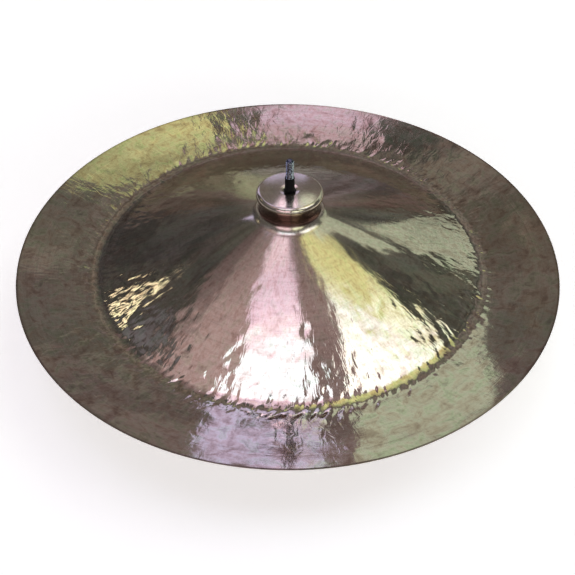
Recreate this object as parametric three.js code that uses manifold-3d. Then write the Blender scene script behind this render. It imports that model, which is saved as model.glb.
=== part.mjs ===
// China cymbal on the tilter that carries it.
// Millimetres, +Z up. The origin is the middle of the stem's lower end, and the tilter's pivot runs along X.
import * as THREE from "three";
import { mergeVertices } from "three/addons/utils/BufferGeometryUtils.js";
import Module from "manifold-3d";

const wasm = await Module();
wasm.setup();

// Cymbal: one hammered sheet of bell, bow and upturned flange
const cymbalDiameter = 559;
const flangeWidth = 73;
const flangeRise = 25;
const flangeCurl = 2;
const bendRadius = 26;
const bowDrop = 59.7;
const bowCrown = 2.2;
const bellHeight = 24.4;
const bellTopDiameter = 72.6;
const bellNeckDiameter = 54;
const bellShoulderRadius = 4.5;
const bellRootRadius = 3;
const dimpleWidth = 3.6;
const dimpleDepth = 0.9;
const bellThickness = 1.4;
const bowThickness = 0.95;
const rimThickness = 0.7;

// Sleeve: nylon tube that keeps the cymbal off the rod
const sleeveDiameter = 10.8;
const sleeveTaper = 0.5;
const sleeveLength = 27.3;
const sleeveFlangeWidth = 2.2;
const sleeveFlangeThickness = 1.5;
const sleeveEdgeRadius = 0.9;
const sleevePlay = 0.15;
const holePlay = 1.1;

// Threaded rod, its lock nut and its spring pin
const rodDiameter = 8;
const rodLength = 73;
const rodSeatDepth = 18;
const rodChamfer = 0.9;
const rodFit = 0.15;
const nutFlats = 13;
const nutThickness = 6.5;
const nutChamfer = 0.9;
const rodPinDiameter = 3;
const rodPinDepth = 11;

// Cup washer and the felt that lies in it
const feltDiameter = 36;
const feltThickness = 11;
const feltEdgeRadius = 1.6;
const feltPlay = 0.3;
const cupFloor = 1.5;
const cupWall = 1.4;
const cupRimHeight = 3.2;
const cupCornerRadius = 1.8;

// Tilter castings: two half-width eyes with a brake disc between them
const eyeRadius = 15;
const eyeThickness = 9.5;
const eyeGap = 1;
const eyeBevel = 1;
const swingClearance = 1;
const brakeRecess = 0.75;
const brakeRimWidth = 2.2;
const brakePlay = 0.2;
const bossDiameter = 21;
const bossHeight = 0.8;
const headHeight = 41.5;
const headPostDiameter = 17;
const headTopDiameter = 14.5;
const headCollarDiameter = 18.5;
const headCollarHeight = 4;
const baseHeight = 38;
const basePostDiameter = 21;
const baseMouthDiameter = 19.6;
const baseCollarDiameter = 22;
const baseCollarHeight = 3.5;

// Stem and the spring pin that holds it in the base
const stemDiameter = 12.7;
const stemExposed = 50;
const stemSocketDepth = 16;
const stemChamfer = 1.2;
const stemFit = 0.15;
const stemPinDiameter = 4;
const stemPinDepth = 9;

// Pivot bolt, plain washer and wing nut
const boltDiameter = 8;
const boltHeadDiameter = 18;
const boltHeadHeight = 4.2;
const boltSquareDepth = 4;
const boltTail = 4;
const boltPlay = 0.2;
const washerDiameter = 19;
const washerThickness = 1.6;
const wingHubDiameter = 15.5;
const wingHubTopDiameter = 12.5;
const wingHubLength = 13;
const wingReach = 21;
const wingLean = 5;
const wingThickness = 4;
const wingTipRadius = 4.6;
const wingBevel = 0.8;
const wingRootShare = 1.2;
const wingBackShare = 1.4;
const wingRestTurn = THREE.MathUtils.degToRad(24);

// Shared by every spring pin
const pinWallShare = 0.2;
const pinSlotShare = 0.18;
const pinPlay = 0.1;

// Shared by every cut, and the number of facets on each kind of round surface
const overrun = 1;
const mergeDistance = 1e-4;
const cymbalSegments = 84;
const washerSegments = 36;
const roundSegments = 32;
const smallSegments = 24;
const pinSegments = 8;
const arcSteps = 3;
const edgeSteps = 2;

// Heights along the rod, from the stem's end to the bell
const pivotZ = stemExposed + baseHeight;
const headTopZ = headHeight;
const cupZ = headTopZ + nutThickness;
const cupFloorTopZ = cupZ + cupFloor;
const feltTopZ = cupFloorTopZ + feltThickness;
const bellTopZ = feltTopZ + bellThickness;

// The pivot's stack of faces, measured along X from the middle of the brake disc
const eyeInnerX = eyeGap / 2;
const eyeOuterX = eyeInnerX + eyeThickness;
const bossX = eyeOuterX + bossHeight;

const finishes = {
  bronze: { color: 0xa98a55, roughness: 0.32, metalness: 1 },
  steel: { color: 0xb9bcc0, roughness: 0.28, metalness: 1 },
  casting: { color: 0xa6a8ab, roughness: 0.35, metalness: 1 },
  nylon: { color: 0x121212, roughness: 0.5, metalness: 0 },
  felt: { color: 0x2f2d2c, roughness: 0.95, metalness: 0 },
  brake: { color: 0x2a2623, roughness: 0.8, metalness: 0 },
};

// Solids and booleans

function solidOf(geometry) {
  const bare = geometry.clone();
  for (const name of Object.keys(bare.attributes)) {
    if (name !== "position") bare.deleteAttribute(name);
  }
  const merged = mergeVertices(bare, mergeDistance);
  const triVerts = new Uint32Array(merged.index.array);
  const vertProperties = merged.attributes.position.array;
  return new wasm.Manifold(new wasm.Mesh({ numProp: 3, vertProperties, triVerts }));
}

function geometryOf(manifold) {
  const mesh = manifold.getMesh();
  const geometry = new THREE.BufferGeometry();
  geometry.setAttribute("position", new THREE.BufferAttribute(mesh.vertProperties, 3));
  geometry.setIndex(new THREE.BufferAttribute(mesh.triVerts, 1));
  const faceted = geometry.toNonIndexed();
  faceted.computeVertexNormals();
  return faceted;
}

function join(first, ...others) {
  return geometryOf(others.reduce((made, other) => made.add(solidOf(other)), solidOf(first)));
}

function cut(first, ...others) {
  return geometryOf(others.reduce((made, other) => made.subtract(solidOf(other)), solidOf(first)));
}

function common(first, second) {
  return geometryOf(solidOf(first).intersect(solidOf(second)));
}

// Outlines

// Points along a run of corners, each rounded by an arc that its two sides leave room for.
function filleted(corners) {
  const points = [];
  corners.forEach((corner, i) => {
    const [before, after] = [corners[i - 1], corners[i + 1]];
    if (!corner.radius || !before || !after) {
      points.push(corner.at.clone());
      return;
    }
    const towardsBefore = before.at.clone().sub(corner.at);
    const towardsAfter = after.at.clone().sub(corner.at);
    const room = Math.min(towardsBefore.length(), towardsAfter.length()) / 2;
    towardsBefore.normalize();
    towardsAfter.normalize();
    const halfAngle = Math.acos(towardsBefore.dot(towardsAfter)) / 2;
    const reach = Math.min(corner.radius / Math.tan(halfAngle), room);
    const radius = reach * Math.tan(halfAngle);
    const inward = towardsBefore.clone().add(towardsAfter).normalize();
    const centre = corner.at.clone().addScaledVector(inward, radius / Math.sin(halfAngle));
    const from = corner.at.clone().addScaledVector(towardsBefore, reach).sub(centre);
    const turn = Math.PI - 2 * halfAngle;
    const side = Math.sign(towardsAfter.cross(towardsBefore));
    for (let step = 0; step <= corner.steps; step += 1) {
      const angle = (side * turn * step) / corner.steps;
      points.push(from.clone().rotateAround(new THREE.Vector2(), angle).add(centre));
    }
  });
  return points;
}

function at(r, z, radius = 0, steps = edgeSteps) {
  return { at: new THREE.Vector2(r, z), radius, steps };
}

// A solid of revolution about Z, from an outline of radius and height that runs up its outer side.
function turned(outline, segments = roundSegments) {
  const points = outline.map((p) => (p.isVector2 ? p : new THREE.Vector2(...p)));
  return new THREE.LatheGeometry(points, segments).rotateX(Math.PI / 2);
}

function rod(radius, fromZ, toZ, segments = roundSegments) {
  return turned([[0, fromZ], [radius, fromZ], [radius, toZ], [0, toZ]], segments);
}

function ring(inner, outer, fromZ, toZ, segments = roundSegments) {
  return turned([[inner, fromZ], [outer, fromZ], [outer, toZ], [inner, toZ], [inner, fromZ]], segments);
}

// Turns a piece that was made along Z so that it lies along X.
function alongX(geometry) {
  return geometry.rotateY(Math.PI / 2);
}

// Turns a piece that was made along Z so that it lies along Y.
function alongY(geometry) {
  return geometry.rotateX(-Math.PI / 2);
}

// Cymbal

// Top face of the sheet, from the hole's edge out to the rim, with height zero at the flat of the bell.
// The bow and the flange are each two chords that one wide arc runs through.
function sheetTop() {
  const holeRadius = sleeveDiameter / 2 + holePlay;
  const topRadius = bellTopDiameter / 2;
  const neckRadius = bellNeckDiameter / 2;
  const rimRadius = cymbalDiameter / 2;
  const bendR = rimRadius - flangeWidth;
  const bendZ = -bellHeight - bowDrop;
  const bowMiddleR = (neckRadius + bendR) / 2;
  const bowMiddleZ = -bellHeight - bowDrop / 2 + bowCrown;
  const flangeMiddleR = bendR + flangeWidth / 2;
  const flangeMiddleZ = bendZ + flangeRise / 2 - flangeCurl;
  return filleted([
    at(holeRadius, -dimpleDepth),
    at(holeRadius + dimpleWidth, 0, dimpleWidth, edgeSteps),
    at(topRadius, 0, bellShoulderRadius, arcSteps),
    at(neckRadius, -bellHeight, bellRootRadius, arcSteps),
    at(bowMiddleR, bowMiddleZ, 4 * cymbalDiameter, arcSteps),
    at(bendR, bendZ, bendRadius, arcSteps),
    at(flangeMiddleR, flangeMiddleZ, cymbalDiameter, edgeSteps),
    at(rimRadius, bendZ + flangeRise),
  ]);
}

function sheetThickness(r) {
  const neck = bellNeckDiameter / 2;
  const rim = cymbalDiameter / 2;
  const share = THREE.MathUtils.clamp((r - neck) / (rim - neck), 0, 1);
  const bow = THREE.MathUtils.lerp(bowThickness, rimThickness, share);
  return r < neck + bellRootRadius ? bellThickness : bow;
}

// The hole and the rim are cut straight down, and between them the underside follows the top.
function cymbalGeometry() {
  const top = sheetTop();
  const under = top.map((point, i) => {
    const down = new THREE.Vector2(0, -1);
    if (i > 0 && i < top.length - 1) {
      const along = top[i + 1].clone().sub(top[i - 1]).normalize();
      down.set(along.y, -along.x);
    }
    return point.clone().addScaledVector(down, sheetThickness(point.x));
  });
  return turned([...under, ...top.reverse(), under[0].clone()], cymbalSegments);
}

// Rod and what stacks on it

function sleeveGeometry() {
  const bore = rodDiameter / 2 + sleevePlay;
  const outer = sleeveDiameter / 2;
  const top = outer - sleeveTaper;
  const flange = outer + sleeveFlangeWidth;
  const outline = filleted([
    at(bore, 0),
    at(flange, 0),
    at(flange, sleeveFlangeThickness),
    at(outer, sleeveFlangeThickness),
    at(top, sleeveLength, sleeveEdgeRadius),
    at(bore, sleeveLength),
    at(bore, 0),
  ]);
  return turned(outline);
}

function rodGeometry() {
  const radius = rodDiameter / 2;
  return turned(
    [
      [0, 0],
      [radius - rodChamfer, 0],
      [radius, rodChamfer],
      [radius, rodLength - rodChamfer],
      [radius - rodChamfer, rodLength],
      [0, rodLength],
    ],
    smallSegments,
  );
}

function lockNutGeometry() {
  const corner = nutFlats / Math.sqrt(3);
  const hexagon = new THREE.Shape();
  for (let i = 0; i < 6; i += 1) {
    const angle = (i * Math.PI) / 3;
    const [x, y] = [corner * Math.cos(angle), corner * Math.sin(angle)];
    if (i === 0) hexagon.moveTo(x, y);
    else hexagon.lineTo(x, y);
  }
  const prism = new THREE.ExtrudeGeometry(hexagon, { depth: nutThickness, bevelEnabled: false });
  const chamfered = turned([
    [0, 0],
    [corner - nutChamfer, 0],
    [corner, nutChamfer / 2],
    [corner, nutThickness - nutChamfer / 2],
    [corner - nutChamfer, nutThickness],
    [0, nutThickness],
  ]);
  const bore = rod(rodDiameter / 2 + rodFit, -overrun, nutThickness + overrun, smallSegments);
  return cut(common(prism, chamfered), bore);
}

function cupWasherGeometry() {
  const bore = rodDiameter / 2 + rodFit;
  const inner = feltDiameter / 2 + feltPlay;
  const outer = inner + cupWall;
  const outline = filleted([
    at(bore, 0),
    at(outer, 0, cupCornerRadius),
    at(outer, cupFloor + cupRimHeight),
    at(inner, cupFloor + cupRimHeight),
    at(inner, cupFloor),
    at(bore, cupFloor),
    at(bore, 0),
  ]);
  return turned(outline, washerSegments);
}

function feltGeometry() {
  const bore = sleeveDiameter / 2 + feltPlay;
  const recess = sleeveDiameter / 2 + sleeveFlangeWidth + feltPlay;
  const recessZ = sleeveFlangeThickness + feltPlay;
  const dish = sleeveDiameter / 2 + holePlay + dimpleWidth + holePlay;
  const outer = feltDiameter / 2;
  const outline = filleted([
    at(recess, 0),
    at(outer, 0, feltEdgeRadius / 2),
    at(outer, feltThickness, feltEdgeRadius),
    at(dish, feltThickness),
    at(bore, feltThickness - dimpleDepth - feltPlay),
    at(bore, recessZ),
    at(recess, recessZ),
    at(recess, 0),
  ]);
  return turned(outline, washerSegments);
}

// Tilter castings

// Seen along the pivot: a round eye whose sides run straight up to the post.
function eyeOutline(postRadius, postZ) {
  const reach = Math.hypot(postRadius, postZ);
  const tangent = Math.acos(Math.min(eyeRadius / reach, 1)) + Math.atan2(postRadius, postZ);
  const outline = new THREE.Shape();
  outline.absarc(0, 0, eyeRadius, Math.PI / 2 + tangent, Math.PI / 2 - tangent + 2 * Math.PI, false);
  outline.lineTo(postRadius, postZ);
  outline.lineTo(-postRadius, postZ);
  outline.closePath();
  return outline;
}

// Seen across the pivot: half the width at the eye, and the whole post above it.
function cheekOutline(postRadius, postZ, shoulderZ) {
  const outer = Math.max(eyeOuterX, postRadius);
  const outline = new THREE.Shape();
  outline.moveTo(eyeInnerX, -eyeRadius - overrun);
  outline.lineTo(eyeOuterX, -eyeRadius - overrun);
  outline.lineTo(eyeOuterX, shoulderZ);
  outline.lineTo(outer, postZ);
  outline.lineTo(-postRadius, postZ);
  outline.lineTo(-postRadius, shoulderZ);
  outline.lineTo(eyeInnerX, shoulderZ);
  outline.closePath();
  return outline;
}

// One half of the tilter, with its eye at the origin and its post pointing up +Z.
function castingGeometry({ height, postDiameter, endDiameter, collarDiameter, collarHeight }) {
  const postRadius = postDiameter / 2;
  const swing = eyeRadius + swingClearance;
  const postZ = swing + postRadius;
  const eyeDepth = Math.max(eyeOuterX, postRadius) * 2;
  const eye = new THREE.ExtrudeGeometry(eyeOutline(postRadius, postZ), {
    depth: eyeDepth,
    bevelEnabled: false,
    curveSegments: roundSegments,
  });
  // The outline's X and Y become Y and Z, and its depth runs along X.
  eye.translate(0, 0, -eyeDepth / 2).rotateX(Math.PI / 2).rotateZ(Math.PI / 2);
  const cheekDepth = 2 * eyeRadius;
  const cheek = new THREE.ExtrudeGeometry(cheekOutline(postRadius, postZ, swing / 2), {
    depth: cheekDepth,
    bevelEnabled: false,
  });
  cheek.translate(0, 0, -cheekDepth / 2).rotateX(Math.PI / 2);
  // The block's corners are turned down to a cone that runs into the post.
  const shoulderRadius = Math.hypot(eyeRadius, eyeOuterX);
  const coneTrim = turned([
    [0, -shoulderRadius],
    [shoulderRadius, -shoulderRadius],
    [shoulderRadius, 0],
    [postRadius, postZ],
    [0, postZ],
  ]);
  const rimTrim = alongX(
    turned([
      [0, -eyeOuterX],
      [postZ + overrun, -eyeOuterX],
      [postZ + overrun, eyeOuterX - eyeBevel],
      [eyeRadius, eyeOuterX - eyeBevel],
      [eyeRadius - eyeBevel, eyeOuterX],
      [0, eyeOuterX],
    ]),
  );
  const boss = alongX(rod(bossDiameter / 2, eyeOuterX - overrun, bossX));
  const collarRadius = collarDiameter / 2;
  const post = turned([
    [0, swing],
    [endDiameter / 2, swing],
    [postRadius, postZ],
    [endDiameter / 2, height - collarHeight - (collarRadius - endDiameter / 2)],
    [collarRadius, height - collarHeight],
    [collarRadius, height - eyeBevel / 2],
    [collarRadius - eyeBevel / 2, height],
    [0, height],
  ]);
  const otherEye = alongX(rod(swing, -eyeOuterX - overrun - swing, eyeInnerX, roundSegments * 2));
  const brakeSeat = alongX(
    rod(eyeRadius - brakeRimWidth, eyeInnerX - overrun, eyeInnerX + brakeRecess, washerSegments),
  );
  const boltHole = alongX(rod(boltDiameter / 2 + boltPlay, -overrun, bossX + overrun, smallSegments));
  const block = common(common(common(eye, cheek), rimTrim), coneTrim);
  return cut(join(block, boss, post), otherEye, brakeSeat, boltHole);
}

function headGeometry() {
  const body = castingGeometry({
    height: headHeight,
    postDiameter: headPostDiameter,
    endDiameter: headTopDiameter,
    collarDiameter: headCollarDiameter,
    collarHeight: headCollarHeight,
  });
  const seat = rod(
    rodDiameter / 2 + rodFit,
    headHeight - rodSeatDepth - rodFit,
    headHeight + overrun,
    smallSegments,
  );
  return cut(body, seat, pinHole(rodPinDiameter, headPostDiameter, headHeight - rodPinDepth));
}

function baseGeometry() {
  const body = castingGeometry({
    height: baseHeight,
    postDiameter: basePostDiameter,
    endDiameter: baseMouthDiameter,
    collarDiameter: baseCollarDiameter,
    collarHeight: baseCollarHeight,
  });
  const seat = rod(stemDiameter / 2 + stemFit, baseHeight - stemSocketDepth, baseHeight + overrun);
  const side = boltDiameter + 2 * boltPlay;
  const square = new THREE.BoxGeometry(2 * (boltSquareDepth + boltPlay), side, side);
  square.translate(bossX, 0, 0);
  return cut(body, seat, square, pinHole(stemPinDiameter, basePostDiameter, baseHeight - stemPinDepth));
}

// Cross hole for a spring pin, along Y at the given height on a post.
function pinHole(diameter, postDiameter, z) {
  const length = postDiameter + 2 * overrun;
  return alongY(rod(diameter / 2 + pinPlay, -length / 2, length / 2, smallSegments)).translate(0, 0, z);
}

// Split spring pin along Y: a rolled tube with an open seam.
function springPinGeometry(diameter, length) {
  const outer = diameter / 2;
  const inner = outer - diameter * pinWallShare;
  const seam = pinSlotShare * Math.PI;
  const outline = new THREE.Shape();
  outline.absarc(0, 0, outer, seam, 2 * Math.PI - seam, false);
  outline.absarc(0, 0, inner, 2 * Math.PI - seam, seam, true);
  outline.closePath();
  const settings = { depth: length, bevelEnabled: false, curveSegments: pinSegments };
  const pin = new THREE.ExtrudeGeometry(outline, settings);
  return alongY(pin.translate(0, 0, -length / 2));
}

// Pivot

function brakeDiscGeometry() {
  const half = eyeInnerX + brakeRecess;
  const outer = eyeRadius - brakeRimWidth - brakePlay;
  return alongX(ring(boltDiameter / 2 + boltPlay, outer, -half, half, washerSegments));
}

// Carriage bolt whose square neck sits in the base, with its tail beyond the wing nut.
function boltGeometry() {
  const radius = boltDiameter / 2;
  const headX = -bossX;
  const tailX = bossX + washerThickness + wingHubLength + boltTail;
  const headRadius = boltHeadDiameter / 2;
  const dome = filleted([
    at(0, headX - boltHeadHeight),
    at(headRadius / 2, headX - boltHeadHeight, headRadius),
    at(headRadius, headX - boltHeadHeight / 4, headRadius / 4),
    at(headRadius, headX),
    at(0, headX),
  ]);
  const shank = turned(
    [
      [0, headX - overrun],
      [radius, headX - overrun],
      [radius, tailX - rodChamfer],
      [radius - rodChamfer, tailX],
      [0, tailX],
    ],
    smallSegments,
  );
  const neck = new THREE.BoxGeometry(boltDiameter, boltDiameter, boltSquareDepth + overrun);
  neck.translate(0, 0, headX + (boltSquareDepth - overrun) / 2);
  return alongX(join(turned(dome), shank, neck));
}

function plainWasherGeometry() {
  return alongX(ring(boltDiameter / 2 + boltPlay, washerDiameter / 2, 0, washerThickness));
}

// One wing in the plane of the bolt's axis: x runs along the bolt, y away from it.
function wingOutline() {
  const hub = wingHubTopDiameter / 2;
  const tipX = wingHubLength + wingLean - wingTipRadius;
  const tipY = wingReach - wingTipRadius;
  const outline = new THREE.Shape();
  outline.moveTo(wingBevel, hub / 2);
  outline.lineTo(wingBevel, hub);
  const frontX = wingHubLength / 3;
  outline.bezierCurveTo(frontX, hub * wingRootShare, frontX, tipY, tipX, tipY + wingTipRadius);
  outline.absarc(tipX, tipY, wingTipRadius, Math.PI / 2, -Math.PI / 4, true);
  outline.quadraticCurveTo(wingHubLength, hub * wingBackShare, wingHubLength - wingBevel, hub);
  outline.lineTo(wingHubLength - wingBevel, hub / 2);
  outline.closePath();
  return outline;
}

function wingNutGeometry() {
  const hubRadius = wingHubDiameter / 2;
  const topRadius = wingHubTopDiameter / 2;
  const hub = turned(
    filleted([
      at(0, 0),
      at(hubRadius, 0),
      at(hubRadius, wingHubLength / 6, wingBevel),
      at(topRadius, wingHubLength / 3),
      at(topRadius, wingHubLength, wingBevel),
      at(0, wingHubLength),
    ]),
  );
  const thickness = wingThickness - 2 * wingBevel;
  const wing = new THREE.ExtrudeGeometry(wingOutline(), {
    depth: thickness,
    bevelThickness: wingBevel,
    bevelSize: wingBevel,
    bevelOffset: -wingBevel,
    bevelSegments: edgeSteps,
    curveSegments: 2 * edgeSteps,
  });
  // The outline's X lies along Z, and its Y stays.
  wing.translate(0, 0, -thickness / 2).rotateY(-Math.PI / 2);
  const opposite = wing.clone().rotateZ(Math.PI);
  const bore = rod(boltDiameter / 2 + boltPlay, -overrun, wingHubLength + overrun, smallSegments);
  return alongX(cut(join(hub, wing, opposite), bore));
}

// Stem

function stemGeometry() {
  const radius = stemDiameter / 2;
  const length = stemExposed + stemSocketDepth;
  const bar = turned([
    [0, 0],
    [radius - stemChamfer, 0],
    [radius, stemChamfer],
    [radius, length - stemChamfer],
    [radius - stemChamfer, length],
    [0, length],
  ]);
  return cut(bar, pinHole(stemPinDiameter, basePostDiameter, stemExposed + stemPinDepth));
}

// Assembly

function piece(name, geometry, finish) {
  const mesh = new THREE.Mesh(geometry, new THREE.MeshStandardMaterial(finishes[finish]));
  mesh.name = name;
  return mesh;
}

function placed(object, x, y, z) {
  object.position.set(x, y, z);
  return object;
}

function rodWithPinHole() {
  return cut(rodGeometry(), pinHole(rodPinDiameter, headPostDiameter, rodSeatDepth - rodPinDepth));
}

// What turns with the head: the head, the rod, and the stack that carries the cymbal.
function headGroup() {
  const group = new THREE.Group();
  group.add(
    piece("tilter_head", headGeometry(), "casting"),
    placed(piece("threaded_rod", rodWithPinHole(), "steel"), 0, 0, headHeight - rodSeatDepth),
    placed(
      piece("rod_spring_pin", springPinGeometry(rodPinDiameter, headTopDiameter), "steel"),
      0,
      0,
      headHeight - rodPinDepth,
    ),
    placed(piece("rod_lock_nut", lockNutGeometry(), "steel"), 0, 0, headTopZ),
    placed(piece("cup_washer", cupWasherGeometry(), "steel"), 0, 0, cupZ),
    placed(piece("lower_felt", feltGeometry(), "felt"), 0, 0, cupFloorTopZ),
    placed(piece("cymbal_sleeve", sleeveGeometry(), "nylon"), 0, 0, cupFloorTopZ),
    placed(piece("cymbal", cymbalGeometry(), "bronze"), 0, 0, bellTopZ),
  );
  return group;
}

// What stays with the stand: the base, its stem, and the bolt with its nut.
function baseGroup() {
  const group = new THREE.Group();
  // The base is a casting like the head's, turned over so that its eye faces the head's.
  const base = piece("tilter_base", baseGeometry(), "casting");
  base.rotation.y = Math.PI;
  const wingNut = placed(piece("wing_nut", wingNutGeometry(), "casting"), bossX + washerThickness, 0, 0);
  wingNut.rotation.x = wingRestTurn;
  group.add(
    base,
    placed(piece("stem", stemGeometry(), "steel"), 0, 0, -pivotZ),
    placed(
      piece("stem_spring_pin", springPinGeometry(stemPinDiameter, baseMouthDiameter), "steel"),
      0,
      0,
      stemPinDepth - baseHeight,
    ),
    piece("brake_disc", brakeDiscGeometry(), "brake"),
    piece("pivot_bolt", boltGeometry(), "steel"),
    placed(piece("plain_washer", plainWasherGeometry(), "steel"), bossX, 0, 0),
    wingNut,
  );
  return group;
}

const chinaCymbal = new THREE.Group();
chinaCymbal.add(placed(baseGroup(), 0, 0, pivotZ), placed(headGroup(), 0, 0, pivotZ));

export default chinaCymbal;
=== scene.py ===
"""Looks of the china cymbal and the tilter that carries it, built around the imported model."""

import math

import bmesh
import bpy
import numpy as np
from mathutils import Matrix, Vector, noise


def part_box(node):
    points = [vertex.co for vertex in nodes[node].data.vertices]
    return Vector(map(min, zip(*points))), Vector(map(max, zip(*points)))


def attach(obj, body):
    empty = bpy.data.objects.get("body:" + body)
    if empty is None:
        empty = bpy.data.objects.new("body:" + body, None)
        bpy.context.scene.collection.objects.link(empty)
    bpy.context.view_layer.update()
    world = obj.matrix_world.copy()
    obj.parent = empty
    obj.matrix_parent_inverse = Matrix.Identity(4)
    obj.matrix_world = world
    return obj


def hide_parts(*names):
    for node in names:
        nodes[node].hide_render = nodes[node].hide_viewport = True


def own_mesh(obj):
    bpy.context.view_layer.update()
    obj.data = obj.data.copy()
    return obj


MM = 0.001
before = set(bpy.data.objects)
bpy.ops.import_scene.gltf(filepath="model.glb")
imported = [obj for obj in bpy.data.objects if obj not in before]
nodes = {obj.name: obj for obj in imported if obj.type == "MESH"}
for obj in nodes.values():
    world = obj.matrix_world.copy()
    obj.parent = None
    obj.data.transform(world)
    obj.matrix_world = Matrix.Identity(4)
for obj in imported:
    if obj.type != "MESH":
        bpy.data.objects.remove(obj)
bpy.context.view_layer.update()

# Sizes of the cymbal in millimetres, as in the CAD
RIM_RADIUS = 279.5
FLANGE_WIDTH = 73
FLANGE_RISE = 25
FLANGE_CURL = 2
BEND_FILLET = 26
BOW_DROP = 59.7
BOW_CROWN = 2.2
BELL_HEIGHT = 24.4
BELL_TOP_RADIUS = 36.3
BELL_SHOULDER = 4.5
NECK_RADIUS = 27
DIMPLE_WIDTH = 3.6
DIMPLE_DEPTH = 0.9
BELL_THICKNESS = 1.4
BOW_THICKNESS = 0.95
RIM_THICKNESS = 0.7
BEND_AT = RIM_RADIUS - FLANGE_WIDTH
BEND_Z = -BELL_HEIGHT - BOW_DROP

# Where the sheet is softer than in the CAD: under its neck, and on its bell, which is crowned
NECK_FILLET = 15
CROWN_RADIUS = 20
CROWN_DROP = 0.75

# Sizes of the hardware in millimetres, as in the CAD
SLEEVE_RADIUS = 5.4
SLEEVE_TAPER = 0.5
SLEEVE_FLANGE = 2.2
SLEEVE_FLANGE_THICKNESS = 1.5
SLEEVE_BORE = 4.15
HOLE_PLAY = 1.1
HOLE_RADIUS = SLEEVE_RADIUS + HOLE_PLAY
ROD_RADIUS = 4
ROD_CHAMFER = 0.9
ROD_PIN_HEIGHT = 7
ROD_PIN_RADIUS = 1.6
FELT_RADIUS = 18
CUP_WALL = 1.4
CUP_FLOOR = 1.5
CUP_BORE = 4.15
STEM_RADIUS = 6.35
STEM_CHAMFER = 1.2
STEM_PIN_HEIGHT = 59
STEM_PIN_RADIUS = 2.1
PIVOT_Z = 88
BOLT_BORE = 4.2
BOLT_HEAD_RADIUS = 9
BOLT_HEAD_HEIGHT = 4.2
BOLT_NECK_DEPTH = 4
WASHER_RADIUS = 9.5

# Not in the CAD: the thread, its depth as a share of its pitch, and play under the sleeve
THREAD_PITCH = 1.25
THREAD_DEPTH = 0.6134
SLEEVE_FOOT_GAP = 0.04

# Meshes


def shade_smooth(mesh):
    mesh.polygons.foreach_set("use_smooth", [True] * len(mesh.polygons))


def mesh_object(name, vertices, faces):
    mesh = bpy.data.meshes.new(name)
    mesh.from_pydata(vertices, [], faces)
    mesh.validate()
    shade_smooth(mesh)
    mesh.update()
    obj = bpy.data.objects.new(name, mesh)
    bpy.context.scene.collection.objects.link(obj)
    return obj


def cleaned(obj, sharp_angle=None, close_ends=True):
    """Merges points that coincide, closes open ends, turns all faces out and marks sharp edges."""
    bm = bmesh.new()
    bm.from_mesh(obj.data)
    bmesh.ops.remove_doubles(bm, verts=bm.verts, dist=1e-6)
    if close_ends:
        bmesh.ops.holes_fill(bm, edges=[e for e in bm.edges if e.is_boundary])
    bmesh.ops.recalc_face_normals(bm, faces=bm.faces)
    bm.to_mesh(obj.data)
    bm.free()
    shade_smooth(obj.data)
    if sharp_angle is not None:
        obj.data.set_sharp_from_angle(angle=math.radians(sharp_angle))
    return obj


def applied(obj, *modifiers):
    """Runs modifiers, each a kind and its settings, and keeps their result as the object's mesh."""
    for kind, settings in modifiers:
        modifier = obj.modifiers.new(kind.lower(), kind)
        for key, value in settings.items():
            setattr(modifier, key, value)
    evaluated = obj.evaluated_get(bpy.context.evaluated_depsgraph_get())
    mesh = bpy.data.meshes.new_from_object(evaluated)
    obj.modifiers.clear()
    obj.data = mesh
    return obj


def combined(obj, tool, operation):
    """Cuts a tool out of an object or joins the two, and drops the tool."""
    applied(obj, ("BOOLEAN", {"object": tool, "operation": operation, "solver": "EXACT"}))
    bpy.data.objects.remove(tool)
    return obj


def filleted(corners, step):
    """Points along corners (r, z, fillet), each rounded by the arc that its two sides leave room for."""
    points = []
    fewest_steps = 4
    for i, (r, z, radius) in enumerate(corners):
        here = np.array([r, z], float)
        if not radius or i in (0, len(corners) - 1):
            points.append(here)
            continue
        before = np.array(corners[i - 1][:2], float) - here
        after = np.array(corners[i + 1][:2], float) - here
        room = min(np.hypot(*before), np.hypot(*after)) / 2
        before /= np.hypot(*before)
        after /= np.hypot(*after)
        half = math.acos(float(before @ after)) / 2
        reach = min(radius / math.tan(half), room)
        radius = reach * math.tan(half)
        inward = (before + after) / np.hypot(*(before + after))
        centre = here + inward * radius / math.sin(half)
        start = here + before * reach - centre
        turn = math.pi - 2 * half
        side = math.copysign(1, after[0] * before[1] - after[1] * before[0])
        steps = max(fewest_steps, int(radius * turn / step))
        for k in range(steps + 1):
            a = side * turn * k / steps
            cos, sin = math.cos(a), math.sin(a)
            turned_start = start[0] * cos - start[1] * sin, start[0] * sin + start[1] * cos
            points.append(centre + np.array(turned_start))
    return np.array(points)


def resampled(points, spacing):
    """Stations along a run of points, as far apart as spacing(point) says: places and unit normals."""
    fine_step, width, least_gap = 0.05, 5, 6
    lengths = np.concatenate([[0], np.cumsum(np.hypot(*np.diff(points, axis=0).T))])
    fine = np.arange(0, lengths[-1], fine_step)
    path = np.stack([np.interp(fine, lengths, points[:, k]) for k in (0, 1)], -1)
    kernel = np.ones(2 * width + 1) / (2 * width + 1)
    padded = np.pad(np.gradient(path, axis=0), ((width, width), (0, 0)), "edge")
    tangent = np.stack([np.convolve(padded[:, k], kernel, "valid") for k in (0, 1)], -1)
    tangent /= np.hypot(*tangent.T)[:, None]
    chosen, along = [0], 0.0
    while along < fine[-1]:
        i = min(int(along / fine_step), len(fine) - 1)
        along += spacing(path[i])
        chosen.append(min(int(round(along / fine_step)), len(fine) - 1))
    chosen = sorted(set(chosen))
    if len(chosen) > 2 and chosen[-1] - chosen[-2] < least_gap:
        chosen.pop(-2)
    normal = np.stack([-tangent[:, 1], tangent[:, 0]], -1)
    return path[chosen], normal[chosen]


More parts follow.
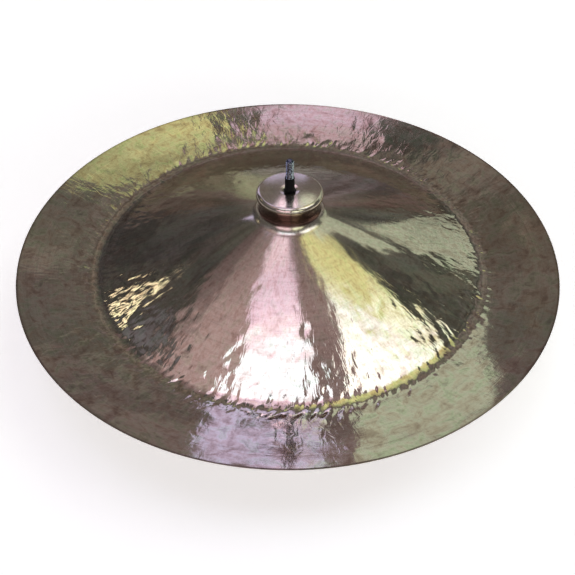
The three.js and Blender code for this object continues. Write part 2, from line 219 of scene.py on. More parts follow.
def lathed(name, rings, closed=True):
    """A surface from rings of points. A ring has as many points as the next, twice as many or half."""
    starts = np.cumsum([0] + [len(r) for r in rings])
    faces = []
    for i in range(len(rings) if closed else len(rings) - 1):
        n = (i + 1) % len(rings)
        a0, b0, na, nb = starts[i], starts[n], len(rings[i]), len(rings[n])
        if na == nb:
            j = np.arange(na)
            k = (j + 1) % na
            faces += np.stack([a0 + j, a0 + k, b0 + k, b0 + j], -1).tolist()
            continue
        coarse, fine, c0, f0 = (na, nb, a0, b0) if na < nb else (nb, na, b0, a0)
        j = np.arange(coarse)
        k = (j + 1) % coarse
        f, g, h = f0 + 2 * j, f0 + 2 * j + 1, f0 + (2 * j + 2) % fine
        fans = [np.stack(t, -1) for t in ((c0 + j, g, f), (c0 + j, c0 + k, g), (c0 + k, h, g))]
        faces += np.concatenate([t[:, ::-1] if na > nb else t for t in fans]).tolist()
    return mesh_object(name, np.concatenate(rings).tolist(), faces)


def circle(r, z, segments):
    """Points of a level circle, in metres from millimetres."""
    angle = np.arange(segments) * 2 * math.pi / segments
    return np.stack([r * np.cos(angle), r * np.sin(angle), np.full(segments, z)], -1) * MM


def turned(name, corners, segments=128, step=0.12, run=2.5, shaped=None):
    """A solid of revolution from corners (r, z, fillet) that end on the axis or close on themselves."""
    # A ring this close to both ends of a straight side keeps the side's shading flat
    support = 0.06
    rounded = filleted(corners, step)
    profile = [rounded[0]]
    for a, b in zip(rounded, rounded[1:]):
        length = float(np.hypot(*(b - a)))
        if length > 4 * support:
            inner = np.arange(1, round(length / run)) / max(1, round(length / run))
            shares = np.concatenate([[support / length], inner, [1 - support / length]])
            profile += [a + (b - a) * t for t in shares]
        if length > 1e-6:
            profile.append(b)
    rings = [circle(r, z, segments) for r, z in profile]
    if shaped:
        rings = [shaped(ring) for ring in rings]
    return cleaned(lathed(name, rings, closed=False), 35)


def threaded(name, length):
    """A stud up from the origin with a helical 60 degree thread, chamfered at both ends."""
    columns = 40
    depth = THREAD_DEPTH * THREAD_PITCH
    # Places along one pitch, and how much of the thread's depth is cut away there
    phases = ((1 / 16, 0), (0.22, 0.5), (3 / 8, 1), (5 / 8, 1), (0.78, 0.5), (15 / 16, 0))
    rows = [(turn + phase, ROD_RADIUS - depth * bite)
            for turn in range(-1, int(length / THREAD_PITCH) + 2) for phase, bite in phases]
    points = []
    for row, r in rows:
        for j in range(columns):
            z = min(max((row + j / columns - 1) * THREAD_PITCH, 0), length)
            out = min(r, ROD_RADIUS - ROD_CHAMFER + min(z, length - z))
            a = 2 * math.pi * j / columns
            points.append((out * math.cos(a) * MM, out * math.sin(a) * MM, z * MM))
    faces = []
    for i in range(len(rows) - 1):
        for j in range(columns):
            wrap = j == columns - 1
            k, up = (0, len(phases)) if wrap else (j + 1, 0)
            corners = [(i, j), (i + up, k), (i + up + 1, k), (i + 1, j)]
            if i + up + 1 < len(rows) and not all_clamped(points, corners, columns, length):
                faces.append([row * columns + column for row, column in corners])
    stud = mesh_object(name, points, faces)
    return cleaned(dropped_loose(stud), 50)


def all_clamped(points, corners, columns, length):
    """Whether a face of a stud lies flat on one of its ends."""
    heights = [points[row * columns + column][2] / MM for row, column in corners]
    return max(heights) <= 1e-9 or min(heights) >= length - 1e-9


def dropped_loose(obj):
    """Drops the points that no face uses."""
    bm = bmesh.new()
    bm.from_mesh(obj.data)
    bmesh.ops.delete(bm, geom=[v for v in bm.verts if not v.link_faces], context="VERTS")
    bm.to_mesh(obj.data)
    bm.free()
    return obj


def placed(obj, matrix):
    """Moves a new piece's points to their place, so that its object stays at the origin."""
    obj.data.transform(matrix)
    obj.data.update()
    return obj


ALONG_X = Matrix.Rotation(math.pi / 2, 4, "Y")
ALONG_Y = Matrix.Rotation(-math.pi / 2, 4, "X")


def raised(z):
    return Matrix.Translation((0, 0, z * MM))


def pin_cut(radius, z):
    """A tool for the hole of a pin that lies along Y."""
    half = 20
    tool = turned("pin_cut", [(0, -half, 0), (radius, -half, 0), (radius, half, 0), (0, half, 0)], 48)
    return placed(tool, raised(z) @ ALONG_Y)


def copied(node, name):
    """A node's solid as a new mesh, with its split points merged and its flat faces whole again."""
    flat_within = math.radians(0.6)
    bm = bmesh.new()
    bm.from_mesh(nodes[node].data)
    bmesh.ops.remove_doubles(bm, verts=bm.verts, dist=2e-6)
    bmesh.ops.dissolve_limit(bm, angle_limit=flat_within, verts=bm.verts, edges=bm.edges)
    bmesh.ops.recalc_face_normals(bm, faces=bm.faces)
    bm.verts.index_update()
    points = [tuple(v.co) for v in bm.verts]
    faces = [[v.index for v in f.verts] for f in bm.faces]
    bm.free()
    return mesh_object(name, points, faces)


def machined(node, bevel):
    """A turned or milled piece: its edges are broken and its round faces are smooth."""
    obj = copied(node, node + "_finished")
    applied(obj, ("BEVEL", {"width": bevel * MM, "segments": 2, "limit_method": "ANGLE",
                            "angle_limit": math.radians(38), "miter_outer": "MITER_ARC"}))
    shade_smooth(obj.data)
    obj.data.set_sharp_from_angle(angle=math.radians(32))
    obj.modifiers.new("weighted", "WEIGHTED_NORMAL").keep_sharp = True
    return obj


def cast(node, voxel, softness):
    """A casting: its edges and inner corners are rounded as a mould leaves them."""
    remesh = {"mode": "VOXEL", "voxel_size": voxel * MM, "use_smooth_shade": True}
    smooth = {"factor": 0.5, "iterations": softness}
    return applied(copied(node, node + "_cast"), ("REMESH", remesh), ("SMOOTH", smooth))


def fitted(piece, node, body, material):
    """Puts a finished piece in a node's place."""
    piece.data.materials.clear()
    piece.data.materials.append(material)
    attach(piece, body)
    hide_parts(node)
    return piece


class Shader:
    """A material with a few helpers to wire nodes."""

    def __init__(self, name, **sockets):
        self.material = bpy.data.materials.new(name)
        self.material.use_nodes = True
        self.tree = self.material.node_tree
        self.tree.nodes.clear()
        self.bsdf = self.node("ShaderNodeBsdfPrincipled")
        out = self.node("ShaderNodeOutputMaterial")
        self.tree.links.new(self.bsdf.outputs[0], out.inputs[0])
        for key, value in sockets.items():
            self.bsdf.inputs[key.replace("_", " ")].default_value = value
        self.place = self.node("ShaderNodeTexCoord").outputs["Object"]

    def node(self, kind, **settings):
        made = self.tree.nodes.new(kind)
        for key, value in settings.items():
            setattr(made, key, value)
        return made

    def feed(self, socket, value):
        if isinstance(value, bpy.types.NodeSocket):
            self.tree.links.new(value, socket)
        else:
            socket.default_value = value

    def set(self, name, value):
        self.feed(self.bsdf.inputs[name], value)

    def math(self, operation, a, b=0.0):
        made = self.node("ShaderNodeMath", operation=operation)
        self.feed(made.inputs[0], a)
        self.feed(made.inputs[1], b)
        return made.outputs[0]

    def xyz(self, vector):
        made = self.node("ShaderNodeSeparateXYZ")
        self.feed(made.inputs[0], vector)
        return made.outputs

    def vector(self, x, y, z):
        made = self.node("ShaderNodeCombineXYZ")
        for socket, value in zip(made.inputs, (x, y, z)):
            self.feed(socket, value)
        return made.outputs[0]

    def stretched(self, *parts):
        """Coordinates from three values, each multiplied by its own number."""
        return self.vector(*[self.math("MULTIPLY", value, by) for value, by in parts])

    def noise(self, vector, scale=1.0, detail=3.0, roughness=0.55, distortion=0.0):
        made = self.node("ShaderNodeTexNoise")
        self.feed(made.inputs["Vector"], vector)
        settings = {"Scale": scale, "Detail": detail, "Roughness": roughness, "Distortion": distortion}
        for key, value in settings.items():
            made.inputs[key].default_value = value
        return made.outputs["Fac"]

    def cells(self, vector, scale):
        made = self.node("ShaderNodeTexVoronoi")
        self.feed(made.inputs["Vector"], vector)
        made.inputs["Scale"].default_value = scale
        return made.outputs["Distance"]

    def ramp(self, value, *stops):
        """A run of colours, or of greys where a stop has one number."""
        made = self.node("ShaderNodeValToRGB")
        elements = made.color_ramp.elements
        while len(elements) < len(stops):
            elements.new(0.5)
        for element, (position, colour) in zip(elements, stops):
            element.position = position
            element.color = (*colour, 1) if isinstance(colour, tuple) else (colour, colour, colour, 1)
        self.feed(made.inputs[0], value)
        return made.outputs["Color"]

    def mix(self, share, a, b, blend="MIX"):
        made = self.node("ShaderNodeMix", data_type="RGBA", blend_type=blend)
        self.feed(made.inputs["Factor"], share)
        for socket, value in zip([s for s in made.inputs if s.type == "RGBA"], (a, b)):
            self.feed(socket, (*value, 1) if isinstance(value, tuple) else value)
        return [s for s in made.outputs if s.type == "RGBA"][0]

    def bump(self, height, distance, strength=1.0, below=None):
        made = self.node("ShaderNodeBump")
        made.inputs["Strength"].default_value = strength
        made.inputs["Distance"].default_value = distance
        self.feed(made.inputs["Height"], height)
        if below is not None:
            self.feed(made.inputs["Normal"], below)
        return made.outputs[0]


# Cymbal: shape

# Corners (r, z, fillet) of the upper face from the hole to the rim, with z from the bell's top
SHEET = [
    (HOLE_RADIUS, -DIMPLE_DEPTH, 0),
    (HOLE_RADIUS + DIMPLE_WIDTH, 0, DIMPLE_WIDTH),
    (CROWN_RADIUS, 0, 10 * CROWN_RADIUS),
    (BELL_TOP_RADIUS, -CROWN_DROP, BELL_SHOULDER),
    (NECK_RADIUS, -BELL_HEIGHT, NECK_FILLET),
    ((NECK_RADIUS + BEND_AT) / 2, -BELL_HEIGHT - BOW_DROP / 2 + BOW_CROWN, 8 * RIM_RADIUS),
    (BEND_AT, BEND_Z, BEND_FILLET),
    (BEND_AT + FLANGE_WIDTH / 2, BEND_Z + FLANGE_RISE / 2 - FLANGE_CURL, 2 * RIM_RADIUS),
    (RIM_RADIUS, BEND_Z + FLANGE_RISE, 0),
]
SHEET_STEP = 0.25
RIM_ROUNDING = 0.2
FIELD_ROWS, FIELD_COLUMNS = 560, 3200
FIELD_STEP = RIM_RADIUS / (FIELD_ROWS - 1)
# Points of the coarsest ring, and the radius inside which rings follow the bell's curves
COARSE = 192
BELL_ZONE = 50
# How many dents of each kind are drawn
WAVES, STROKES, DIMPLES, NICKS, BEND_STROKES = 170, 4600, 1900, 150, 120


def add_dents(field, radii, angles, lengths, widths, leans, depths):
    """Presses soft oval dents into a polar height field. A lean is measured from the radial direction."""
    column = 2 * math.pi / FIELD_COLUMNS
    # A dent has faded out at this many of its lengths
    faded_out = 2.4
    for r, a, length, width, lean, depth in zip(radii, angles, lengths, widths, leans, depths):
        reach = faded_out * max(length, width)
        first = max(0, int((r - reach) / FIELD_STEP))
        last = min(FIELD_ROWS, int((r + reach) / FIELD_STEP) + 2)
        span = int(reach / (r * column)) + 1
        middle = int(round(a / column))
        i = np.arange(first, last)[:, None]
        j = np.arange(middle - span, middle + span + 1)[None, :]
        out = i * FIELD_STEP - r
        along = (j * column - a) * r
        u = (out * math.cos(lean) + along * math.sin(lean)) / length
        v = (along * math.cos(lean) - out * math.sin(lean)) / width
        field[i, j % FIELD_COLUMNS] -= depth * np.exp(-(u * u + v * v))


def hammered():
    """Height of the hammered face over the smooth one, millimetres, on a polar grid."""
    rng = np.random.default_rng(22)
    field = np.zeros((FIELD_ROWS, FIELD_COLUMNS))
    turn = 2 * math.pi
    # Wide, shallow waves from shaping the sheet
    n = WAVES
    r = 62 + 205 * np.sqrt(rng.random(n))
    add_dents(field, r, rng.random(n) * turn, rng.uniform(14, 26, n), rng.uniform(9, 18, n),
              rng.normal(0, 0.5, n), rng.normal(0, 0.06, n))
    # Hammer strokes, drawn out along the radius, closest together on both sides of the bend
    r = rng.uniform(72, 274, STROKES)
    weight = np.interp(r, [72, 120, 160, 186, 205, 222, 236, 274],
                       [0.08, 0.3, 0.6, 1.0, 1.0, 0.7, 0.25, 0.12])
    keep = rng.random(STROKES) < weight
    r, weight, n = r[keep], weight[keep], int(keep.sum())
    crowding = 0.3 + 0.7 * weight
    calm = np.interp(r, [200, 222, 240], [1.0, 0.6, 0.35])
    add_dents(field, r, rng.random(n) * turn, rng.uniform(3.2, 6.5, n), rng.uniform(1.9, 3.4, n),
              rng.normal(-0.35, 0.3, n), np.minimum(rng.gamma(2.2, 0.05, n), 0.3) * crowding * calm)
    # Broad dimples, up and down, that mottle the flange and the outer bow
    n = DIMPLES
    r = rng.uniform(130, 277, n)
    calm = np.interp(r, [200, 225], [1.0, 0.75])
    add_dents(field, r, rng.random(n) * turn, rng.uniform(4.5, 8.5, n), rng.uniform(4, 7.5, n),
              rng.normal(0, 0.8, n), rng.normal(0.0, 0.075, n) * calm)
    # A few light nicks on the inner bow
    n = NICKS
    r = rng.uniform(50, 130, n)
    add_dents(field, r, rng.random(n) * turn, rng.uniform(2.4, 4.5, n), rng.uniform(1.4, 2.2, n),
              rng.normal(0.2, 0.5, n), rng.uniform(0.03, 0.09, n))
    # Oblique strokes along the bend, deepest in front: a row of long ones, and shorter ones inside it
    n = BEND_STROKES
    for shift, jitter, radius, spread, lengths, widths, lean, sway, depths in (
            (0, 0.16, BEND_AT + 5, 1.8, (6.0, 9.0), (1.8, 2.6), -0.7, 0.12, (0.22, 0.5)),
            (0.5, 0.22, BEND_AT - 6, 2.2, (3.5, 5.5), (1.5, 2.2), -0.55, 0.2, (0.08, 0.26))):
        around = (np.arange(n) + shift + rng.normal(0, jitter, n)) * turn / n
        in_front = 0.72 - 0.28 * np.sin(around)
        add_dents(field, rng.normal(radius, spread, n), around, rng.uniform(*lengths, n),
                  rng.uniform(*widths, n), rng.normal(lean, sway, n), rng.uniform(*depths, n) * in_front)
    return field


def sampled(field, r, angle):
    """The field's height at radius r and angle, between its four nearest cells."""
    i = np.clip(r / FIELD_STEP, 0, FIELD_ROWS - 1.001)
    j = (angle / (2 * math.pi) * FIELD_COLUMNS) % FIELD_COLUMNS
    i0, j0 = i.astype(int), j.astype(int) % FIELD_COLUMNS
    di, dj = i - i0, j - np.floor(j)
    j1 = (j0 + 1) % FIELD_COLUMNS
    return ((field[i0, j0] * (1 - dj) + field[i0, j1] * dj) * (1 - di)
            + (field[i0 + 1, j0] * (1 - dj) + field[i0 + 1, j1] * dj) * di)


def top_spacing(point):
    """Distance between rings of the upper face: close in the bell's curves and where it is hammered."""
    r, z = point
    if z > -BELL_HEIGHT - 6 and r < BELL_ZONE:
        curved = -5 < z < -0.02 or z < -BELL_HEIGHT + 5 or r < HOLE_RADIUS + 8
        return 0.6 if curved else 1.6
    return np.interp(r, [BELL_ZONE, 110, 150, 165, 190, 222, 236, 270, RIM_RADIUS - 2, RIM_RADIUS],
                     [3.0, 2.6, 2.0, 1.6, 1.3, 1.3, 2.2, 2.4, 1.6, 0.5])


def segments_at(r):
    """How many points a ring of the upper face has."""
    if r < 52:
        return COARSE
    if r < 112:
        return 2 * COARSE
    along_the_bend = 186 < r < 226
    return 8 * COARSE if along_the_bend else 4 * COARSE


def sheet_thickness(r):
    share = np.clip((r - NECK_RADIUS) / (RIM_RADIUS - NECK_RADIUS), 0, 1)
    blend = np.clip((r - NECK_RADIUS - 4) / 2, 0, 1)
    bow = BOW_THICKNESS + (RIM_THICKNESS - BOW_THICKNESS) * share
    return BELL_THICKNESS + (bow - BELL_THICKNESS) * blend


def hammered_ring(r, z, normal, count, field, bell_z):
    """A ring of the sheet, lifted along its normal by the field's height."""
    angle = np.arange(count) * 2 * math.pi / count
    fade = np.interp(r, [RIM_RADIUS - 3, RIM_RADIUS - 0.6], [1, 0])
    lift = sampled(field, np.full(count, r), angle) * fade
    out = r + normal[0] * lift
    return np.stack([out * np.cos(angle), out * np.sin(angle), bell_z + z + normal[1] * lift], -1) * MM


def softened(field):
    """The field as it comes through to the underside, its dents blurred."""
    reach, sideways = 7, 10
    kernel = np.ones(2 * reach + 1) / (2 * reach + 1)
    soft = np.array([np.convolve(np.pad(c, reach, "edge"), kernel, "valid") for c in field.T]).T
    return (soft + np.roll(soft, sideways, 1) + np.roll(soft, -sideways, 1)) / 3


def under_spacing(point):
    """Distance between rings of the underside, which has fewer than the upper face."""
    return top_spacing(point) * (1.3 if point[0] < BELL_ZONE else 2.6)


def make_cymbal():
    bell_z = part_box("cymbal")[1].z / MM
    edge_radius = RIM_RADIUS - RIM_ROUNDING
    field = hammered()
    outline = filleted(SHEET, SHEET_STEP)
    path, normals = resampled(outline, top_spacing)
    rim_z = bell_z + path[-1][1]
    top = []
    for (r, z), normal in zip(path, normals):
        if r > edge_radius:
            top.append(circle(edge_radius, rim_z, 4 * COARSE))
        else:
            top.append(hammered_ring(r, z, normal, segments_at(r), field, bell_z))
    soft = softened(field)
    under = []
    for (r, z), normal in zip(*resampled(outline, under_spacing)):
        t = sheet_thickness(r)
        if r < HOLE_RADIUS + 0.3:
            under.append(circle(HOLE_RADIUS, bell_z + z - t, COARSE))
        elif r > RIM_RADIUS - 0.35:
            under.append(circle(edge_radius, bell_z + z - t, COARSE))
        else:
            inner_r, inner_z = r - normal[0] * t, z - normal[1] * t
            under.append(hammered_ring(inner_r, inner_z, normal, COARSE, soft, bell_z))
    edge = [circle(RIM_RADIUS, rim_z - RIM_THICKNESS + RIM_ROUNDING, COARSE),
            circle(RIM_RADIUS, rim_z - RIM_THICKNESS / 2, 2 * COARSE),
            circle(RIM_RADIUS, rim_z - RIM_ROUNDING, 4 * COARSE)]
    return cleaned(lathed("cymbal_sheet", under + edge + top[::-1]))


# Cymbal: bronze. Its heights are in metres.

NECK_FOOT_Z, NECK_TOP_Z, NECK_RAMP = 0.1262, 0.1462, 0.025


def polar_of(s):
    """Radius, height, and a way to get coordinates whose detail follows the lathe."""
    x, y, z = s.xyz(s.place)
    r = s.math("SQRT", s.math("ADD", s.math("MULTIPLY", x, x), s.math("MULTIPLY", y, y)))
    across, deep = s.math("DIVIDE", x, r), s.math("DIVIDE", y, r)

    def polar(around, out):
        return s.stretched((across, around), (deep, around), (r, out))

    return r, z, polar


def bronze_colour(s, share, z, polar, patch, streak, fine):
    """Bronze in patches of pink, straw and green, streaked by the lathe, with painted shade in reddish
    brown under the bell.
    """
    cloud = s.noise(polar(4, 18), 1.0, 3, 0.55, 0.5)
    freckle = s.noise(polar(60, 260), 1.0, 3, 0.65, 0.3)
    tint = s.ramp(patch, (0.30, (0.42, 0.31, 0.26)), (0.42, (0.60, 0.49, 0.41)),
                  (0.53, (0.65, 0.58, 0.50)), (0.62, (0.56, 0.56, 0.43)), (0.72, (0.42, 0.38, 0.32)))
    even = s.ramp(cloud, (0.3, (0.57, 0.48, 0.39)), (0.5, (0.62, 0.55, 0.45)),
                  (0.7, (0.60, 0.56, 0.44)))
    tarnished = s.ramp(share, (0.15, 0.5), (0.55, 0.55), (0.72, 0.8), (0.97, 0.9))
    colour = s.mix(tarnished, even, tint)
    for part, shade in (
            (0.55, s.ramp(streak, (0.28, 0.78), (0.5, 1.0), (0.75, 1.05))),
            (0.45, s.ramp(fine, (0.3, 0.86), (0.6, 1.0))),
            (0.35, s.ramp(freckle, (0.34, (0.62, 0.5, 0.42)), (0.5, (1.0, 1.0, 1.0))))):
        colour = s.mix(part, colour, shade, "MULTIPLY")
    # Painted shade: the neck under the bell's brim is darkened to a reddish brown
    up_the_neck = s.math("MULTIPLY", s.math("SUBTRACT", z, NECK_FOOT_Z), 1 / NECK_RAMP)
    neck = s.ramp(up_the_neck, (0.0, 0.0), (0.05, 0.92), (0.66, 0.92), (0.8, 0.0))
    neck = s.math("MULTIPLY", neck, s.ramp(share, (0.121, 1.0), (0.127, 0.0)))
    colour = s.mix(neck, colour, (0.10, 0.042, 0.034))
    # Darker band at the very rim
    edge = s.ramp(share, (0.992, 0.0), (0.997, 1.0))
    return s.mix(s.math("MULTIPLY", edge, 0.75), colour, (0.16, 0.12, 0.09))


def bronze_material():
    s = Shader("lathed_bronze", Metallic=1.0, Anisotropic=0.6, Anisotropic_Rotation=0.25)
    r, z, polar = polar_of(s)
    share = s.math("DIVIDE", r, RIM_RADIUS * MM)
    patch = s.noise(polar(17, 85), 1.0, 3, 0.6, 0.6)
    streak = s.noise(polar(5, 330), 1.0, 3, 0.6)
    fine = s.noise(polar(9, 1500), 1.0, 2, 0.6)
    s.set("Base Color", bronze_colour(s, share, z, polar, patch, streak, fine))
    sheen = s.ramp(share, (0.118, 0.24), (0.13, 0.14), (0.4, 0.09), (0.9, 0.075), (1.0, 0.12))
    sheen = s.mix(0.3, sheen, s.ramp(patch, (0.3, 0.13), (0.7, 0.06)))
    under_the_bell = s.math("LESS_THAN", z, NECK_TOP_Z)
    dull = s.math("MULTIPLY", s.ramp(share, (0.125, 1.0), (0.155, 0.0)), under_the_bell)
    s.set("Roughness", s.mix(dull, sheen, (0.24, 0.24, 0.24)))
    lathe = s.bump(fine, 0.00003, 0.4)
    lathe = s.bump(streak, 0.00006, 0.4, lathe)
    # Two grooves turned into the flange
    grooves = s.ramp(share, (0.9407, 1.0), (0.9424, 0.0), (0.9441, 1.0),
                     (0.9493, 1.0), (0.951, 0.0), (0.9527, 1.0))
    lathe = s.bump(grooves, 0.00006, 0.5, lathe)
    peen = s.noise(polar(34, 80), 1.0, 2, 0.5, 0.8)
    near_bend = s.ramp(share, (0.30, 0.0), (0.50, 0.4), (0.66, 1.0),
                       (0.76, 1.0), (0.84, 0.65), (0.97, 0.5))
    s.set("Normal", s.bump(s.math("MULTIPLY", peen, near_bend), 0.0004, 0.5, lathe))
    s.set("Tangent", s.node("ShaderNodeTangent", direction_type="RADIAL", axis="Z").outputs[0])
    return s.material


# Hardware: materials


def plated_steel():
    """Bright zinc plate: a faint blue and straw cast, fine grain and small scuffs."""
    s = Shader("zinc_plate", Metallic=1.0)
    cloud = s.noise(s.place, 160, 3)
    grain = s.noise(s.place, 2600, 3, 0.7)
    scuff = s.noise(s.place, 700, 4, 0.7, 1.5)
    colour = s.ramp(cloud, (0.32, (0.58, 0.62, 0.70)), (0.5, (0.70, 0.71, 0.73)),
                    (0.68, (0.70, 0.68, 0.60)))
    s.set("Base Color", s.mix(0.6, colour, s.ramp(scuff, (0.36, 0.62), (0.5, 1.0)), "MULTIPLY"))
    s.set("Roughness", s.ramp(scuff, (0.3, 0.49), (0.5, 0.27), (0.75, 0.21)))
    s.set("Normal", s.bump(grain, 0.000012, 0.5, s.bump(scuff, 0.00002, 0.3)))
    return s.material


def chromed_casting():
    """Die-cast zinc under chrome: a soft orange peel, wear at the edges and a few pits."""
    s = Shader("chromed_casting", Metallic=1.0)
    peel = s.noise(s.place, 420, 2, 0.5)
    pits = s.cells(s.place, 240)
    cloud = s.noise(s.place, 90, 4, 0.65)
    worn = s.ramp(s.node("ShaderNodeNewGeometry").outputs["Pointiness"], (0.515, 0.0), (0.56, 1.0))
    colour = s.ramp(cloud, (0.3, (0.60, 0.60, 0.61)), (0.55, (0.76, 0.76, 0.77)))
    colour = s.mix(s.ramp(pits, (0.03, 1.0), (0.08, 0.0)), colour, (0.24, 0.23, 0.22))
    s.set("Base Color", s.mix(s.math("MULTIPLY", worn, 0.5), colour, (0.50, 0.48, 0.45)))
    s.set("Roughness", s.mix(worn, s.ramp(cloud, (0.3, 0.26), (0.6, 0.13)), (0.42, 0.42, 0.42)))
    s.set("Normal", s.bump(peel, 0.00008, 0.4))
    return s.material


def stem_steel():
    """Chromed bar with the rings that a tube clamp rubs into it."""
    s = Shader("stem_chrome", Metallic=1.0)
    x, y, z = s.xyz(s.place)
    rubbed = s.noise(s.stretched((x, 30), (y, 30), (z, 1600)))
    long = s.noise(s.stretched((x, 1500), (y, 1500), (z, 14)))
    low_down = s.ramp(s.math("MULTIPLY", z, 20), (0.2, 1.0), (0.8, 0.15))
    wear = s.math("MULTIPLY", s.ramp(rubbed, (0.45, 0.0), (0.62, 1.0)), low_down)
    colour = s.mix(wear, (0.74, 0.75, 0.77), (0.50, 0.49, 0.47))
    s.set("Base Color", s.mix(0.5, colour, s.ramp(long, (0.3, 0.78), (0.55, 1.0)), "MULTIPLY"))
    s.set("Roughness", s.mix(wear, (0.14, 0.14, 0.14), (0.40, 0.40, 0.40)))
    s.set("Normal", s.bump(long, 0.00001, 0.5, s.bump(rubbed, 0.00002, 0.3)))
    return s.material


def rod_steel():
    """Blued zinc that is worn bright on the thread's crests, with painted shade dark down in its grooves.
    """
    s = Shader("rod_steel", Metallic=1.0)
    centimetres_out = s.math("MULTIPLY", polar_of(s)[0], 100.0)
    wear = s.noise(s.place, 700, 3, 0.6)
    # Painted shade: the colour darkens towards the bottom of the thread's grooves
    crests_and_groove_shade = s.ramp(centimetres_out, (0.345, (0.03, 0.035, 0.05)), (0.372, (0.16, 0.18, 0.24)),
                   (0.392, (0.80, 0.86, 0.98)))
    s.set("Base Color", s.mix(0.5, crests_and_groove_shade, s.ramp(wear, (0.3, 0.55), (0.6, 1.05)), "MULTIPLY"))
    s.set("Roughness", s.ramp(wear, (0.3, 0.32), (0.7, 0.18)))
    s.set("Normal", s.bump(wear, 0.00003, 0.4))
    return s.material


def black_nylon():
    """Moulded black nylon, finely grained, with duller, dusty patches."""
    s = Shader("black_nylon", Specular_IOR_Level=0.12)
    grain = s.noise(s.place, 1800, 3)
    dust = s.noise(s.place, 350, 4, 0.7)
    s.set("Base Color", s.ramp(dust, (0.45, (0.003, 0.003, 0.004)), (0.85, (0.014, 0.013, 0.013))))
    s.set("Roughness", s.ramp(dust, (0.35, 0.36), (0.7, 0.6)))
    s.set("Normal", s.bump(grain, 0.00004, 0.5))
    return s.material


def grey_felt():
    """Pressed wool: tangled fibres in several greys."""
    s = Shader("grey_felt", Roughness=0.95, Sheen_Weight=0.35, Sheen_Roughness=0.5)
    fibres = s.noise(s.place, 1500, 4, 0.75, 3.0)
    clumps = s.noise(s.place, 260, 3, 0.6)
    colour = s.ramp(fibres, (0.3, (0.022, 0.021, 0.021)), (0.5, (0.055, 0.052, 0.050)),
                    (0.72, (0.15, 0.14, 0.135)))
    s.set("Base Color", s.mix(0.5, colour, s.ramp(clumps, (0.3, 0.6), (0.65, 1.1)), "MULTIPLY"))
    s.set("Normal", s.bump(fibres, 0.0003, 0.8, s.bump(clumps, 0.0005, 0.5)))
    return s.material


def brake_fibre():
    """Pressed brake lining with pale chips."""
    s = Shader("brake_fibre", Roughness=0.85)
    chips = s.cells(s.place, 900)
    s.set("Base Color", s.ramp(chips, (0.12, (0.16, 0.12, 0.08)), (0.35, (0.045, 0.034, 0.026))))
    s.set("Normal", s.bump(s.noise(s.place, 1200, 3), 0.00006, 0.6))
    return s.material


# Hardware: pieces


def foot_and_height(node):
    """How high a node's foot is, and how tall the node is, in millimetres."""
    low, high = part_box(node)
    return low.z / MM, (high.z - low.z) / MM


def across_from(node):
    """Turns a piece that was made upright to lie along the pivot, from the node's lower end in X."""
    return Matrix.Translation((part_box(node)[0].x, 0, PIVOT_Z * MM)) @ ALONG_X


def make_rod():
    """The threaded rod, with the hole of its pin across it."""
    foot, length = foot_and_height("threaded_rod")
    stud = threaded("rod_thread", length)
    combined(stud, pin_cut(ROD_PIN_RADIUS, ROD_PIN_HEIGHT), "DIFFERENCE")
    stud.data.set_sharp_from_angle(angle=math.radians(50))
    return placed(stud, raised(foot))


def make_sleeve():
    """The nylon tube with its foot flange. Soft ribs run round it, as a moulded sleeve has."""
    foot, height = foot_and_height("cymbal_sleeve")
    flange = SLEEVE_RADIUS + SLEEVE_FLANGE
    ribs, rib_depth = 9, 0.12
    side = []
    for i in range(ribs * 2 + 1):
        share = i / (ribs * 2)
        z = SLEEVE_FLANGE_THICKNESS + 0.6 + (height - SLEEVE_FLANGE_THICKNESS - 2.0) * share
        side.append((SLEEVE_RADIUS - SLEEVE_TAPER * share - (rib_depth if i % 2 else 0), z, 1.2))
    corners = [
        (SLEEVE_BORE, SLEEVE_FOOT_GAP, 0),
        (flange, SLEEVE_FOOT_GAP, 0.35),
        (flange, SLEEVE_FLANGE_THICKNESS, 0.5),
        (SLEEVE_RADIUS, SLEEVE_FLANGE_THICKNESS, 0.3),
        *side,
        (SLEEVE_RADIUS - SLEEVE_TAPER, height, 0.8),
        (SLEEVE_BORE + 0.05, height, 0.25),
        (SLEEVE_BORE, height - 0.5, 0.2),
        (SLEEVE_BORE, SLEEVE_FOOT_GAP, 0),
    ]
    return placed(turned("sleeve_tube", corners, 96, run=1.2), raised(foot))


def make_felt():
    """The felt ring: its faces are pressed flat and its side is fuzzy and a little lumpy."""
    foot, height = foot_and_height("lower_felt")
    play = 0.3
    bore = SLEEVE_RADIUS + play
    recess = SLEEVE_RADIUS + SLEEVE_FLANGE + play
    recess_z = SLEEVE_FLANGE_THICKNESS + play
    dish = HOLE_RADIUS + DIMPLE_WIDTH + 1.1

    def fuzzy(ring):
        middle = Vector((0, 0, height / 2 * MM))
        out = []
        for point in ring:
            p = Vector(point)
            tuft = noise.fractal(p * 900, 0.9, 2.1, 4) * 0.5 + noise.noise(p * 260) * 0.5
            squeeze = 0.12 + 0.22 * max(-1.0, min(1.0, tuft))
            inward = (middle - p).normalized()
            out.append(tuple(p + inward * squeeze * MM))
        return np.array(out)

    corners = [
        (recess, 0, 0),
        (FELT_RADIUS, 0, 1.0),
        (FELT_RADIUS - 0.15, height / 2, 6),
        (FELT_RADIUS, height, 1.8),
        (dish, height, 0.8),
        (bore, height - DIMPLE_DEPTH - play, 0.5),
        (bore, recess_z, 0),
        (recess, recess_z, 0),
        (recess, 0, 0),
    ]
    felt = turned("felt_ring", corners, 220, step=0.3, run=0.5, shaped=fuzzy)
    return placed(felt, raised(foot))


